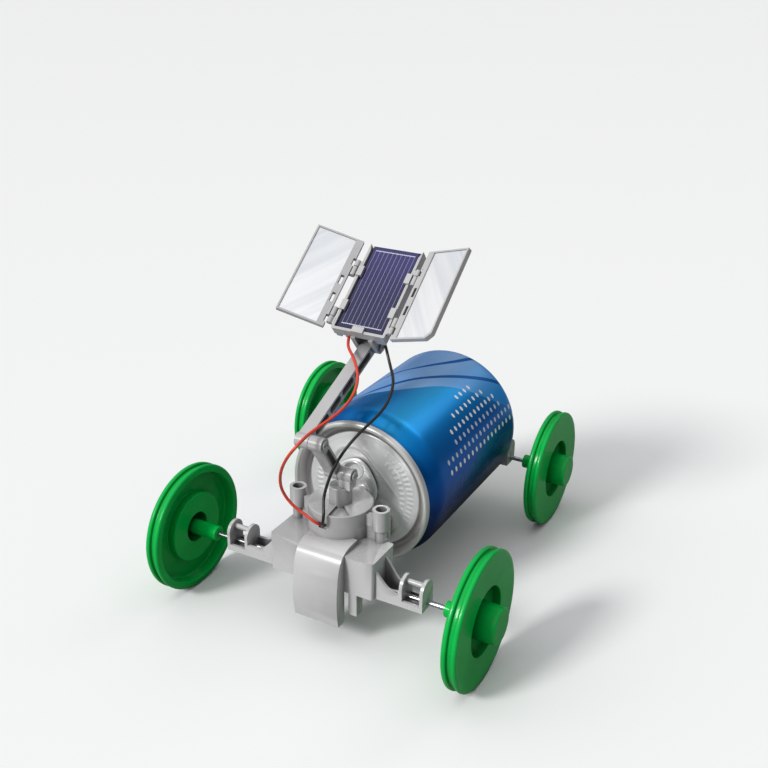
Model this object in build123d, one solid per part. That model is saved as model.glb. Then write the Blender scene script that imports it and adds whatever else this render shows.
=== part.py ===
from build123d import *
import math
import os

# Toy solar car: a drinks can on its side between a worm-driven front chassis and a rear axle
# bracket, with a jointed arm that carries a solar panel tray and two reflector leaves.
# Ground at z = 0, front towards -Y, the can's centre plane at x = 0. Left (-X) and right (+X)
# are as seen by someone facing the front of the car. Points in side view are (y, z).

os.makedirs("parts", exist_ok=True)

# ---------------------------------------------------------------- dimensions
# Shift given to every piece when written: puts x = 0 mid-width of the car, rear rod included
ROW_X = 5.75
SIDES = (-1, 1)
SIDE_NAMES = ((-1, "left"), (1, "right"))

# Wheels and axles
WHEEL_R = 27.0
TRACK_F = 65.5          # centre plane of a front wheel from the car's centre
TRACK_R = 62.0          # centre plane of a rear wheel from the middle of its rod
ROD_SLIDE = -15.0       # middle of the floating rear rod from the car's centre
HUB_OUT = 9.0           # outer end of the closed hub from the wheel's centre plane
HUB_IN = 13.2           # inner end of the hub tube from the wheel's centre plane
HUB_END_T = 1.6         # thickness of the hub's closed end
AXLE_Y = 62.5           # half of the wheelbase
AXLE_Z = WHEEL_R
AXLE_R = 1.0
BEAR_C = 0.06           # running clearance on the radius

# Ears and U channels that carry the rods; near and far are distances along Y
EAR_R = 4.5
EAR_Z = 31.8            # centre of the ears' rounded tops
EAR_ROD_Z = EAR_Z + 1.9
EAR_ROD_R = 1.1
BOTTOM_Z = 24.4         # underside of the chassis and of the rear bracket
FLOOR_T = 1.0
WALL_T = 1.2
CHANNEL_NEAR = AXLE_Y - EAR_R
CHANNEL_FAR = AXLE_Y + EAR_R

# Drinks can, axis along Y
CAN_R = 33.1
CAN_Z = 48.5
CAN_FRONT = -37.5       # front plane of the lid seam
CAN_LEN = 92.0
CAN_BACK = CAN_FRONT + CAN_LEN
NECK_Y = CAN_FRONT + 2.5
PANEL_Y = CAN_FRONT + 4.3
RING_R = 24.5           # standing ring of the base
SHEET = 0.5

# Adhesive pads
PAD_T = 2.0
FRONT_PAD_X = 13.0      # half width
FRONT_PAD_Z = (29.5, 39.5)
REAR_PAD_X = 14.0
REAR_PAD_Z = (21.5, 33.0)

# Front drive unit
DECK_XL = -21.6         # left and right sides of the deck block
DECK_XR = 24.6
DECK_F = -69.0
DECK_B = -52.0
DECK_Z = 40.5
HOLLOW_Z = 36.2         # ceiling of the hollow underneath
HOLLOW_BACK = -54.2
MOTOR_Y = -51.0         # vertical axis of motor, cap and swivel
HOUSE_R = 13.0
HOUSE_IN = 12.3
POCKET_Z = 38.2         # floor of the motor pocket
SEAM_Z = 46.0           # parting line between chassis and cap
CAP_Z = 52.0
COLLAR_Z = 54.6
COLLAR_R = 4.6
SPIGOT_R = 2.5          # spigot of the swivel post in the cap
POST_X = 18.9           # screw posts
POST_Y = -52.5
SCREW_SEAT_Z = 47.6
EAR_X = [(34.6, 35.9), (43.2, 44.5)]
NOSE_X = (-7.6, 12.2)   # sides of the nose cover
NOSE_TOP = 42.3
NOSE_BOTTOM = 10.6
CASE_TOP = 49.2         # joint between motor case and end cap
SHAFT_R = 0.75
SHAFT_HOLE_R = 0.85

# Worm drive
WORM_R = 2.4            # pitch radius of the worm
MODULE = 0.6
TEETH = 30
GEAR_R = MODULE * TEETH / 2


def polar(start, angle, length):
    turn = math.radians(angle)
    return start[0] + length * math.cos(turn), start[1] + length * math.sin(turn)


# Panel arm: joints in side view, x extents of the eyes stacked at them
KNUCKLE = (MOTOR_Y, 64.5)
LINK_ANGLE = 124.4      # degrees from +Y
LINK_L = 20.0
MAST_ANGLE = 23.8
MAST_L = 54.5
ELBOW = polar(KNUCKLE, LINK_ANGLE, LINK_L)
TILT = polar(ELBOW, MAST_ANGLE, MAST_L)
EYE_R = 2.9
PIN_R = 1.2
POST_EYE = (0.1, 5.9)
LINK_EYE = (-5.9, -0.1)
MAST_EYE = (-11.9, -6.1)
LUG_LEFT = (MAST_EYE[0] - 2.2, MAST_EYE[0] - 0.15)
LUG_RIGHT = (MAST_EYE[1] + 0.15, MAST_EYE[1] + 2.2)

# Panel tray frame, origin on the tilt pin: x across, y backwards along the tray, z out of
# the rim plane
TRAY_FRAME = Location((-10.0, TILT[0], TILT[1])) * Rot(39.0, 0, 0)
TRAY_X = TRAY_FRAME.position.X
TRAY_L = 42.6
HALF_W = 24.6 / 2
TRAY_F = -2.1           # front rim edge
TRAY_B = TRAY_F + TRAY_L
RIM_Z = 11.9
FLOOR_Z = RIM_Z - 4.2   # underside of the tray floor
BOARD_Z = FLOOR_Z + 1.8
CELL_Z = BOARD_Z + 1.2
HINGE_X = HALF_W + 1.7
HINGE_Z = RIM_Z - 0.1
HINGE_R = 1.2
HINGE_PIN_R = 0.6

# Reflector leaves
REF_ANGLE = 21.0        # rest angle of both leaves above the rim plane
REF_W = 22.4
REF_F = TRAY_F - 0.5
REF_B = REF_F + 43.0
REF_CUT = 2.4           # cut-off corner of the right leaf
REF_EDGE = 0.8          # rim round the mirror
SEAT_X = 4.8
SEAT_Z = -0.9

WIRE_R = 0.6


# ------------------------------------------------------------------- helpers
def box(x0, x1, y0, y1, z0, z1):
    centre = Pos((x0 + x1) / 2, (y0 + y1) / 2, (z0 + z1) / 2)
    return centre * Box(abs(x1 - x0), abs(y1 - y0), abs(z1 - z0))


def rod_x(x0, x1, y, z, r):
    return Pos((x0 + x1) / 2, y, z) * Rot(0, 90, 0) * Cylinder(r, abs(x1 - x0))


def rod_y(x, z, y0, y1, r):
    return Pos(x, (y0 + y1) / 2, z) * Rot(90, 0, 0) * Cylinder(r, abs(y1 - y0))


def rod_z(x, y, z0, z1, r):
    return Pos(x, y, (z0 + z1) / 2) * Cylinder(r, abs(z1 - z0))


def motor_rod(z0, z1, r):
    """Upright cylinder on the motor's axis."""
    return rod_z(0, MOTOR_Y, z0, z1, r)


def polygon(points):
    return make_face(Polyline(*points, close=True))


def plate_yz(points, x0, x1):
    face = make_face(Plane.YZ.offset(x0) * Polyline(*points, close=True))
    return extrude(face, x1 - x0, dir=(1, 0, 0))


def bezier(p0, p1, p2, p3, n=8):
    """The n + 1 points at equal parameter steps on a cubic."""
    points = []
    for i in range(n + 1):
        t = i / n
        points.append(tuple(
            (1 - t) ** 3 * a + 3 * (1 - t) ** 2 * t * b + 3 * (1 - t) * t * t * c + t ** 3 * d
            for a, b, c, d in zip(p0, p1, p2, p3)))
    return points


def one(shape):
    solids = shape.solids()
    assert len(solids) == 1, len(solids)
    return solids[0]


def save(name, *shapes):
    moved = [one(shape).moved(Location((ROW_X, 0, 0))) for shape in shapes]
    export_step(moved[0] if len(moved) == 1 else Compound(children=moved), f"parts/{name}.step")


# ---------------------------------------------------------- wheels and axles
def wheel(side, track, y, slide):
    # (x, radius) from the wheel's centre plane, outer side towards +x
    profile = [
        (-HUB_IN, AXLE_R), (-HUB_IN, 2.7), (-HUB_IN + 0.4, 3.1), (HUB_OUT - 1.2, 3.1),
        (HUB_OUT - 1.2, 6.3), (-2.0, 6.3), (-2.0, 14.4), (-1.6, 14.8), (1.6, 14.8),
        (1.6, 23.3), (-2.5, 23.9), (-3.0, 24.4), (-3.0, 26.2), (-2.75, 26.75),
        (-2.2, WHEEL_R), (-1.5, 26.9), (-1.1, 26.4), (-0.9, 25.7), (0.9, 25.7),
        (1.1, 26.4), (1.5, 26.9), (2.2, WHEEL_R), (2.75, 26.75), (3.0, 26.2),
        (3.0, 13.9), (2.6, 13.4), (-0.6, 13.4), (-0.6, 7.3), (HUB_OUT - 0.8, 7.3),
        (HUB_OUT - 0.2, 7.0), (HUB_OUT, 6.4), (HUB_OUT, 0.0), (HUB_OUT - HUB_END_T, 0.0),
        (HUB_OUT - HUB_END_T, AXLE_R)]
    body = revolve(polygon(profile), Axis.X)
    if side < 0:
        body = Rot(0, 0, 180) * body
    return Pos(slide + side * track, y, AXLE_Z) * body


def axle(track, y, slide):
    half = track + HUB_OUT - HUB_END_T
    return Pos(slide, 0, 0) * chamfer(rod_x(-half, half, y, AXLE_Z, AXLE_R).edges(), 0.2)


for end, track, y, slide in (("front", TRACK_F, -AXLE_Y, 0), ("rear", TRACK_R, AXLE_Y, ROD_SLIDE)):
    for side, word in SIDE_NAMES:
        save(f"wheel_{end}_{word}", wheel(side, track, y, slide))
    save(f"{end}_axle", axle(track, y, slide))


# ----------------------------------------------------------------- drinks can
def spun_can(profile):
    """Revolve (radius, y) points about the can's axis."""
    face = polygon([(0, y, CAN_Z + r) for r, y in profile])
    return revolve(face, Axis((0, 0, CAN_Z), (0, 1, 0)))


def can_body():
    neck, back, ring = NECK_Y, CAN_BACK, RING_R
    bore = CAN_R - SHEET
    # outside: neck, wall, base ring, then the domed base to the axis
    outer = [(29.9, neck)]
    outer += bezier((29.9, neck + 0.8), (29.9, neck + 4.0), (CAN_R, neck + 5.5),
                    (CAN_R, neck + 11.5))
    outer += bezier((CAN_R, back - 9.0), (CAN_R, back - 4.0), (30.5, back - 2.5),
                    (ring + 1.6, back - 0.4), 6)
    outer += [(ring + 0.8, back), (ring - 0.8, back)]
    outer += bezier((ring - 1.4, back - 0.8), (ring - 3.2, back - 5.5), (14.0, back - 10.0),
                    (0.0, back - 10.2))
    # inside: the same features from the axis back to the neck
    inner = [(0.0, back - 10.2 - SHEET)]
    inner += bezier((13.7, back - 9.6 - SHEET), (18.5, back - 8.6 - SHEET),
                    (21.0, back - 6.0 - SHEET), (ring - 1.7, back - 1.9), 5)
    inner += [(ring - 0.9, back - 0.8), (ring + 0.9, back - 0.8)]
    inner += bezier((ring + 1.6, back - 1.0), (30.2, back - 3.2), (bore, back - 4.4),
                    (bore, back - 9.0), 6)
    inner += bezier((bore, neck + 11.5), (bore, neck + 5.7), (29.35, neck + 4.2),
                    (29.35, neck + 0.8))
    inner += [(29.35, neck)]
    return spun_can(outer + inner)


def can_lid():
    front = CAN_FRONT
    return spun_can([
        (31.0, NECK_Y), (31.0, front + 0.7), (30.75, front + 0.15), (30.3, front),
        (29.5, front), (29.0, front + 0.25), (28.8, front + 0.8), (28.1, front + 5.2),
        (27.6, front + 5.9), (26.9, front + 6.1), (26.2, front + 5.9), (25.8, front + 5.2),
        (25.5, PANEL_Y + 0.3), (25.1, PANEL_Y), (0.0, PANEL_Y), (0.0, PANEL_Y + SHEET),
        (24.9, PANEL_Y + SHEET), (25.3, front + 5.5), (25.9, front + 6.3),
        (26.9, front + 6.6), (27.9, front + 6.3), (28.6, front + 5.3), (29.2, NECK_Y)])


def can_tab():
    """Ring-pull with its rivet at the centre of the lid."""
    y0, y1 = PANEL_Y - 1.6, PANEL_Y - 0.5
    low, high = CAN_Z + 0.2, CAN_Z + 9.0
    tab = rod_y(0, low, y0, y1, 6.3) + box(-6.7, 6.7, y0, y1, low, high)
    tab += rod_y(0, high, y0, y1, 6.9)
    tab -= rod_y(0, CAN_Z + 8.9, y0 - 1, y1 + 1, 4.6)
    tab -= box(-4.0, 4.0, y0 - 1, y1 + 1, CAN_Z + 2.7, CAN_Z + 3.5)
    tab += rod_y(0, CAN_Z, y0 - 0.3, PANEL_Y, 2.2)
    return Pos(0, 0, CAN_Z) * Rot(0, -31, 0) * Pos(0, 0, -CAN_Z) * tab


save("can_body", can_body())
save("can_lid", can_lid())
save("can_tab", can_tab())
save("front_pad", box(-FRONT_PAD_X, FRONT_PAD_X, PANEL_Y - PAD_T, PANEL_Y, *FRONT_PAD_Z))
save("rear_pad", box(-REAR_PAD_X, REAR_PAD_X, CAN_BACK, CAN_BACK + PAD_T, *REAR_PAD_Z))


# -------------------------------------------------------------- front chassis
def chassis_arm(side, deck_side):
    """U channel from the deck block out to a pair of ears."""
    x_in, x_out = deck_side - 0.8, EAR_X[1][1]
    arm = box(side * x_in, side * x_out, -CHANNEL_FAR, -CHANNEL_NEAR,
              BOTTOM_Z, BOTTOM_Z + FLOOR_T)
    for y0, y1 in ((-65.2, -63.7), (-61.3, -59.6)):
        arm -= box(side * 38.4, side * 42.3, y0, y1, BOTTOM_Z - 1, BOTTOM_Z + 2)
    # front and rear walls sweep down from the block, then run low to the outer ear
    for y0, top in ((-CHANNEL_FAR, 36.0), (-CHANNEL_NEAR - WALL_T, 38.5)):
        profile = [(side * x_in, BOTTOM_Z), (side * x_in, top)]
        profile += bezier((side * (deck_side + 0.2), top), (side * (deck_side + 3.0), top - 3.2),
                          (side * (deck_side + 4.8), 30.2), (side * (deck_side + 8.0), 29.4))
        profile += [(side * 35.0, 29.2), (side * 35.0, BOTTOM_Z)]
        face = polygon([(x, y0, z) for x, z in profile])
        arm += extrude(face, WALL_T, dir=(0, 1, 0))
        arm += box(side * EAR_X[0][0], side * x_out, y0, y0 + WALL_T, BOTTOM_Z, BOTTOM_Z + 2.6)
    for x0, x1 in EAR_X:
        ear = box(side * x0, side * x1, -CHANNEL_FAR, -CHANNEL_NEAR, BOTTOM_Z, EAR_Z)
        arm += ear + rod_x(side * x0, side * x1, -AXLE_Y, EAR_Z, EAR_R)
    return arm + rod_x(side * 35.5, side * 43.6, -AXLE_Y, EAR_ROD_Z, EAR_ROD_R)


def front_chassis():
    chassis = box(DECK_XL, DECK_XR, DECK_F, DECK_B, BOTTOM_Z, DECK_Z)
    chassis = fillet(chassis.edges().filter_by(Axis.Z), 1.2)
    chassis += box(-13, 13, DECK_B - 1, PANEL_Y - 6.4, BOTTOM_Z, DECK_Z - 1.0)
    chassis += motor_rod(HOLLOW_Z, SEAM_Z, HOUSE_R)
    # web that carries the pad in the recess of the can lid
    chassis += box(-FRONT_PAD_X, FRONT_PAD_X, PANEL_Y - 6.5, PANEL_Y - PAD_T,
                   FRONT_PAD_Z[0], 38.2)
    # hollow underneath for the worm wheel, and a narrower one behind it for the worm
    chassis -= box(DECK_XL + 1.8, DECK_XR - 1.8, DECK_F + 1.8, HOLLOW_BACK,
                   BOTTOM_Z - 1, HOLLOW_Z)
    chassis -= box(-11, 11, -54.5, -43.5, BOTTOM_Z - 1, HOLLOW_Z)
    # motor pocket and shaft hole
    chassis -= motor_rod(POCKET_Z, SEAM_Z + 1, HOUSE_IN)
    chassis -= motor_rod(30.0, 39.0, 3.3)
    # window in the front wall, behind the nose cover, for the wheel's teeth
    chassis -= box(-3.2, 3.2, DECK_F - 1, HOLLOW_BACK, BOTTOM_Z - 1, 37.4)
    # screw posts beside the housing, each with a web and a foot
    for s in SIDES:
        chassis += rod_z(s * POST_X, POST_Y, DECK_Z - 2, SEAM_Z, 2.3)
        chassis += box(s * 12.6, s * 17.6, POST_Y - 0.7, POST_Y + 0.7, DECK_Z - 0.5, SEAM_Z)
        chassis += box(s * (POST_X - 3.2), s * (POST_X + 2.4), POST_Y - 2.6, POST_Y + 2.6,
                       DECK_Z - 4, DECK_Z)
    chassis += chassis_arm(-1, -DECK_XL)
    chassis += chassis_arm(1, DECK_XR)
    # hanging leg right of the nose, rounded at the bottom rear
    leg = box(14.0, 17.6, DECK_F, DECK_F + 4.6, 14.8, 30.0)
    bottom_edges = leg.edges().filter_by(Axis.X).group_by(Axis.Z)[0]
    chassis += fillet(bottom_edges.sort_by(Axis.Y)[-1:], 1.6)
    # bearing bores, then pilot holes for the cap screws
    chassis -= rod_x(-60, 60, -AXLE_Y, AXLE_Z, AXLE_R + BEAR_C)
    for s in SIDES:
        chassis -= rod_z(s * POST_X, POST_Y, 37.6, SEAM_Z + 1, 1.0)
    return chassis


def gear_cover():
    """Nose cover in front of the deck block."""
    x0, x1 = NOSE_X
    outside = bezier((-62.9, NOSE_TOP), (-70.0, NOSE_TOP), (-73.4, 39.2), (-74.1, 30.0), 12)
    outside += bezier((-74.1, 30.0), (-75.2, 24.0), (-75.0, 16.0), (-73.6, NOSE_BOTTOM))[1:]
    outside += [(DECK_F, NOSE_BOTTOM), (DECK_F, DECK_Z), (-62.9, DECK_Z)]
    # closed cavity, 1 mm in front to 1 mm behind the block's face plane
    inside = [(DECK_F + 1.0, NOSE_BOTTOM + WALL_T), (-72.7, NOSE_BOTTOM + WALL_T)]
    inside += bezier((-72.9, 13.0), (-73.9, 18.0), (-73.8, 24.0), (-72.8, 30.0), 6)
    inside += [(-72.2, 33.4), (-71.3, 36.2), (-69.9, 38.4), (DECK_F + 1.0, 39.3)]
    nose = plate_yz(outside, x0, x1)
    nose -= plate_yz(inside, x0 + WALL_T, x1 - WALL_T)
    nose += box(x0, x1, -63.0, -59.0, DECK_Z, NOSE_TOP)
    return nose - motor_rod(DECK_Z - 1, SEAM_Z, HOUSE_R)


# ------------------------------------------------------------------ motor cap
def motor_cap():
    cap = motor_rod(SEAM_Z, CAP_Z + 0.2, HOUSE_R)
    cap = fillet(cap.edges().group_by(Axis.Z)[-1], 0.5)
    # wedge recess at the front of the flat top, between the rim and the collar
    wedge = extrude(polygon([(0, MOTOR_Y, 0), (2.4, MOTOR_Y - 19.8, 0),
                             (14.6, MOTOR_Y - 13.7, 0)]), 90)
    wedge &= motor_rod(CAP_Z - 0.7, 60, 12.1)
    cap -= wedge
    cap += motor_rod(CAP_Z - 1.5, COLLAR_Z, COLLAR_R)
    for s in SIDES:
        cap += rod_z(s * POST_X, POST_Y, SEAM_Z, 54.4, 3.4)
        cap += box(s * 11.0, s * 17.5, POST_Y - 1.0, POST_Y + 1.0, SEAM_Z, 51.0)
    cap -= motor_rod(SEAM_Z - 1, 50.8, HOUSE_IN)
    for s in SIDES:
        cap -= rod_z(s * POST_X, POST_Y, SEAM_Z - 1, 60, 1.25)
        cap -= rod_z(s * POST_X, POST_Y, SCREW_SEAT_Z, 60, 2.2)
    # socket for the swivel spigot, and a notch for the two wires
    cap -= motor_rod(51.4, 60, SPIGOT_R + BEAR_C)
    return cap - box(-2.4, 1.2, MOTOR_Y - 15, MOTOR_Y - 11.4, SEAM_Z - 1, 48.6)


def cap_screw(side):
    x, slot_z = side * POST_X, 48.3
    screw = rod_z(x, POST_Y, SCREW_SEAT_Z, 49.0, 2.1)
    screw += rod_z(x, POST_Y, 38.6, SCREW_SEAT_Z + 0.1, 1.0)
    for dx, dy in ((1.4, 0.25), (0.25, 1.4)):
        screw -= box(x - dx, x + dx, POST_Y - dy, POST_Y + dy, slot_z, 50)
    return screw


# --------------------------------------------------------------------- motor
def motor_case():
    case = motor_rod(POCKET_Z, CASE_TOP, 12.15)
    case = fillet(case.edges().group_by(Axis.Z)[0], 1.0)
    case += motor_rod(37.0, POCKET_Z + 0.1, 3.0)
    case -= motor_rod(36, 48.0, SHAFT_HOLE_R)
    return case - motor_rod(39.4, 50, 11.4)


def motor_end():
    end = motor_rod(CASE_TOP, 50.4, 12.0) + motor_rod(40.0, CASE_TOP + 0.1, 11.2)
    return end - motor_rod(38, 50.0, SHAFT_HOLE_R)


# ----------------------------------------------------------- worm and its wheel
def drive_worm():
    """Worm with a thin thread, which leaves backlash against straight teeth."""
    root = WORM_R - 1.15 * MODULE
    depth = MODULE * 2.1
    half_root, half_tip = 0.46, 0.16    # half thickness of the thread
    pitch = math.pi * MODULE
    turns = 5
    start_z = AXLE_Z - turns * pitch / 2 - pitch / 4
    path = Helix(pitch, turns * pitch, root - 0.15, center=(0, MOTOR_Y, start_z))
    start = path @ 0
    section = polygon([(start.X, start.Y, start.Z - half_root),
                       (start.X + depth, start.Y, start.Z - half_tip),
                       (start.X + depth, start.Y, start.Z + half_tip),
                       (start.X, start.Y, start.Z + half_root)])
    core = motor_rod(22.6, 36.4, root)
    worm = core + sweep(section, path=path, is_frenet=True)
    return worm - motor_rod(20, 40, SHAFT_R)


def drive_gear():
    tip, root = GEAR_R + 0.85 * MODULE, GEAR_R - 1.2 * MODULE
    step = 2 * math.pi / TEETH
    # one tooth: radius, angle from the tooth's centre in steps
    tooth = ((root, -0.30), (GEAR_R, -0.20), (tip, -0.10),
             (tip, 0.10), (GEAR_R, 0.20), (root, 0.30))
    points = []
    for i in range(TEETH):
        # the half step puts a gap on the worm side (+Y)
        centre = i * step + step / 2
        for r, offset in tooth:
            angle = centre + offset * step
            points.append((-AXLE_Y + r * math.cos(angle), AXLE_Z + r * math.sin(angle)))
    gear = plate_yz(points, -1.2, 1.2)
    gear += rod_x(-3.0, 3.0, -AXLE_Y, AXLE_Z, 2.6)
    return gear - rod_x(-4, 4, -AXLE_Y, AXLE_Z, AXLE_R)


# --------------------------------------------------------------- rear bracket
def rear_bracket():
    near, far, half = CHANNEL_NEAR, CHANNEL_FAR, 27.0
    pad_back = CAN_BACK + PAD_T
    bracket = box(-REAR_PAD_X, REAR_PAD_X, pad_back, pad_back + 2.2, *REAR_PAD_Z)
    # U channel: front wall, floor, rear wall
    bracket += box(-half, half, near, near + WALL_T, BOTTOM_Z, 30.0)
    bracket += box(-half, half, near, far, BOTTOM_Z, BOTTOM_Z + FLOOR_T)
    bracket += box(-half, half, far - WALL_T, far, BOTTOM_Z, 28.6)
    bracket += box(-REAR_PAD_X, REAR_PAD_X, pad_back, 59.0, BOTTOM_Z, BOTTOM_Z + 1.6)
    for s in SIDES:
        for x0, x1 in ((10.0, 11.6), (25.5, half)):
            bracket += (box(s * x0, s * x1, near, far, BOTTOM_Z, EAR_Z)
                        + rod_x(s * x0, s * x1, AXLE_Y, EAR_Z, EAR_R))
        bracket += rod_x(s * 11.2, s * 25.9, AXLE_Y, EAR_ROD_Z, EAR_ROD_R)
        bracket -= box(s * 14, s * 23, 60.4, 64.6, BOTTOM_Z - 1, BOTTOM_Z + 2)
    return bracket - rod_x(-40, 40, AXLE_Y, AXLE_Z, AXLE_R + BEAR_C)


save("front_chassis", front_chassis())
save("gear_cover", gear_cover())
save("motor_cap", motor_cap())
save("cap_screws", cap_screw(-1), cap_screw(1))
save("motor_case", motor_case())
save("motor_end", motor_end())
save("motor_shaft", motor_rod(23.0, 49.8, SHAFT_R))
save("drive_worm", drive_worm())
save("drive_gear", drive_gear())
save("rear_bracket", rear_bracket())


# ------------------------------------------------------------------ panel arm
def eye(joint, extent, radius=EYE_R):
    return rod_x(extent[0], extent[1], joint[0], joint[1], radius)


def along(joint, angle, shape):
    """Turn a shape drawn along +Y from the origin into a bar's direction."""
    return Location((0, joint[0], joint[1])) * Rot(angle, 0, 0) * shape


def swivel_post():
    post = motor_rod(COLLAR_Z, 59.4, COLLAR_R)
    post = fillet(post.edges().group_by(Axis.Z)[-1], 0.5)
    post += motor_rod(51.6, 55.0, SPIGOT_R)
    neck = box(0.6, 5.4, MOTOR_Y - 2.4, MOTOR_Y + 2.4, 58.8, KNUCKLE[1])
    post += neck & motor_rod(55, 70, 6.0)
    post += eye(KNUCKLE, POST_EYE)
    return post - eye(KNUCKLE, (-1, 7), PIN_R + BEAR_C)


def lower_link():
    x0, x1 = LINK_EYE
    bar = along(KNUCKLE, LINK_ANGLE, box(x0 + 0.3, x1 - 0.3, 0, LINK_L, -2.3, 2.3))
    link = bar + eye(KNUCKLE, LINK_EYE) + eye(ELBOW, LINK_EYE)
    # pocket in the right-hand face
    link -= along(KNUCKLE, LINK_ANGLE, box(x1 - 2.2, x1 + 1, 4.2, LINK_L - 4.2, -1.3, 1.3))
    link -= eye(KNUCKLE, (-8, 2), PIN_R)
    return link - eye(ELBOW, (-8, 2), PIN_R)


def mast():
    x0, x1 = MAST_EYE
    bar = along(ELBOW, MAST_ANGLE, box(x0 + 0.3, x1 - 0.3, 0, MAST_L, -2.4, 2.4))
    body = bar + eye(ELBOW, MAST_EYE) + eye(TILT, MAST_EYE)
    # round-ended pockets in the right-hand face, with cross ribs left standing
    for start, end in ((4.4, 14.5), (15.9, 24.5), (25.9, 35.0), (36.4, MAST_L - 4.6)):
        ends = (start + 1.5, end - 1.5)
        pocket = box(x1 - 4.2, x1 + 1, *ends, -1.5, 1.5)
        for y in ends:
            pocket += rod_x(x1 - 4.2, x1 + 1, y, 0, 1.5)
        body -= along(ELBOW, MAST_ANGLE, pocket)
    body -= eye(ELBOW, (-14, -2), PIN_R + BEAR_C)
    return body - eye(TILT, (-14, -2), PIN_R)


def pin(joint, x0, x1):
    """Pin with a slotted head at its right end."""
    y, z = joint
    body = rod_x(x0, x1, y, z, PIN_R)
    body += rod_x(x1, x1 + 0.7, y, z, 1.9)
    return body - box(x1 + 0.35, x1 + 1.0, y - 1.3, y + 1.3, z - 0.25, z + 0.25)


save("swivel_post", swivel_post())
save("lower_link", lower_link())
save("mast", mast())
save("link_pin", pin(KNUCKLE, LINK_EYE[0], POST_EYE[1] + 0.1))
save("elbow_pin", pin(ELBOW, MAST_EYE[0], LINK_EYE[1]))
save("tilt_pin", pin(TILT, LUG_LEFT[0], LUG_RIGHT[1] + 0.1))


# ------------------------------------------------------------------ panel tray
def panel_tray():
    w, front, back = HALF_W, TRAY_F, TRAY_B
    tray = box(-w, w, front, back, FLOOR_Z, RIM_Z)
    tray = fillet(tray.edges().filter_by(Axis.Z).group_by(Axis.Y)[0], 0.8)
    # hollow, open at the rear, where the two side walls run out to a point
    tray -= box(-w + WALL_T, w - WALL_T, front + WALL_T, back + 1, FLOOR_Z + WALL_T, RIM_Z + 1)
    for s in SIDES:
        taper = polygon([(s * (w - 2), back - 3.2, 0), (s * (w - WALL_T), back - 3.2, 0),
                         (s * (w - 0.15), back + 0.1, 0), (s * (w - 2), back + 0.1, 0)])
        tray -= Pos(0, 0, FLOOR_Z + WALL_T) * extrude(taper, 10)
    # ledges that carry the backing board
    for x0, x1 in ((-w + 1.0, -w + 2.2), (w - 2.2, w - 1.0)):
        tray += box(x0, x1, front + 1, back - 3.4, FLOOR_Z + 1, BOARD_Z)
    # clips: two on each long side and one at the front edge
    for y in (front + 11.5, front + 28.5):
        for s in SIDES:
            tray += box(s * (w - 2.4), s * (w + 0.1), y - 2.4, y + 2.4, RIM_Z - 0.9, RIM_Z + 0.7)
    tray += box(-2.6, 2.6, front - 0.1, front + 2.6, RIM_Z - 0.9, RIM_Z + 0.7)
    # hinge knuckles beside the long edges
    for s in SIDES:
        for y0, y1 in ((front + 2.0, front + 5.0), (front + 30.2, front + 33.2)):
            tray += box(s * (w - 0.5), s * HINGE_X, y0, y1, RIM_Z - 1.3, RIM_Z + 0.1)
            tray += rod_y(s * HINGE_X, HINGE_Z, y0, y1, HINGE_R)
    # lugs around the mast's eye
    for lug in (LUG_LEFT, LUG_RIGHT):
        x0, x1 = lug[0] - TRAY_X, lug[1] - TRAY_X
        tray += (box(x0, x1, -EYE_R, EYE_R, 0, FLOOR_Z + 0.6)
                 + rod_x(x0, x1, 0, 0, EYE_R))
    # wire outlets under the front edge: centre, half width
    for x, half in ((-10.2, 1.2), (-5.6, 1.5), (8.9, 2.3)):
        tray += box(x - half, x + half, front + 0.2, front + 3.6, FLOOR_Z - 1.8, FLOOR_Z + 0.4)
    tray = TRAY_FRAME * tray
    tray -= eye(TILT, (-30, 10), PIN_R + BEAR_C)
    for s in SIDES:
        tray -= TRAY_FRAME * rod_y(s * HINGE_X, HINGE_Z, front - 5, back + 5,
                                   HINGE_PIN_R + BEAR_C)
    return tray


def solar_backing():
    edge = HALF_W - 1.25
    return TRAY_FRAME * box(-edge, edge, TRAY_F + 1.25, TRAY_B - 0.2, BOARD_Z, CELL_Z)


def solar_cell():
    return TRAY_FRAME * box(-10.3, 10.3, TRAY_F + 1.9, TRAY_B - 0.5, CELL_Z, CELL_Z + 0.28)


save("panel_tray", panel_tray())
save("solar_backing", solar_backing())
save("solar_cell", solar_cell())


# ----------------------------------------------------------------- reflectors
# Leaf frame: x away from the hinge, y along the tray, z out of the mirror.
# Both leaves are drawn as right-hand ones; the left is mirrored.
def corner(x, y):
    """Prism that cuts off the outer front corner (x, y)."""
    cut = REF_CUT
    face = polygon([(x - cut, y, -5), (x - cut, y - 1, -5), (x + 1, y - 1, -5),
                    (x + 1, y + cut, -5), (x, y + cut, -5)])
    return extrude(face, 10, dir=(0, 0, 1))


def mirror_block(side, top):
    """The mirror's outline from its seat up to top."""
    x1, y0 = REF_W - REF_EDGE, REF_F + REF_EDGE
    block = box(SEAT_X, x1, y0, REF_B - REF_EDGE, SEAT_Z, top)
    return block - corner(x1, y0) if side > 0 else block


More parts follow.
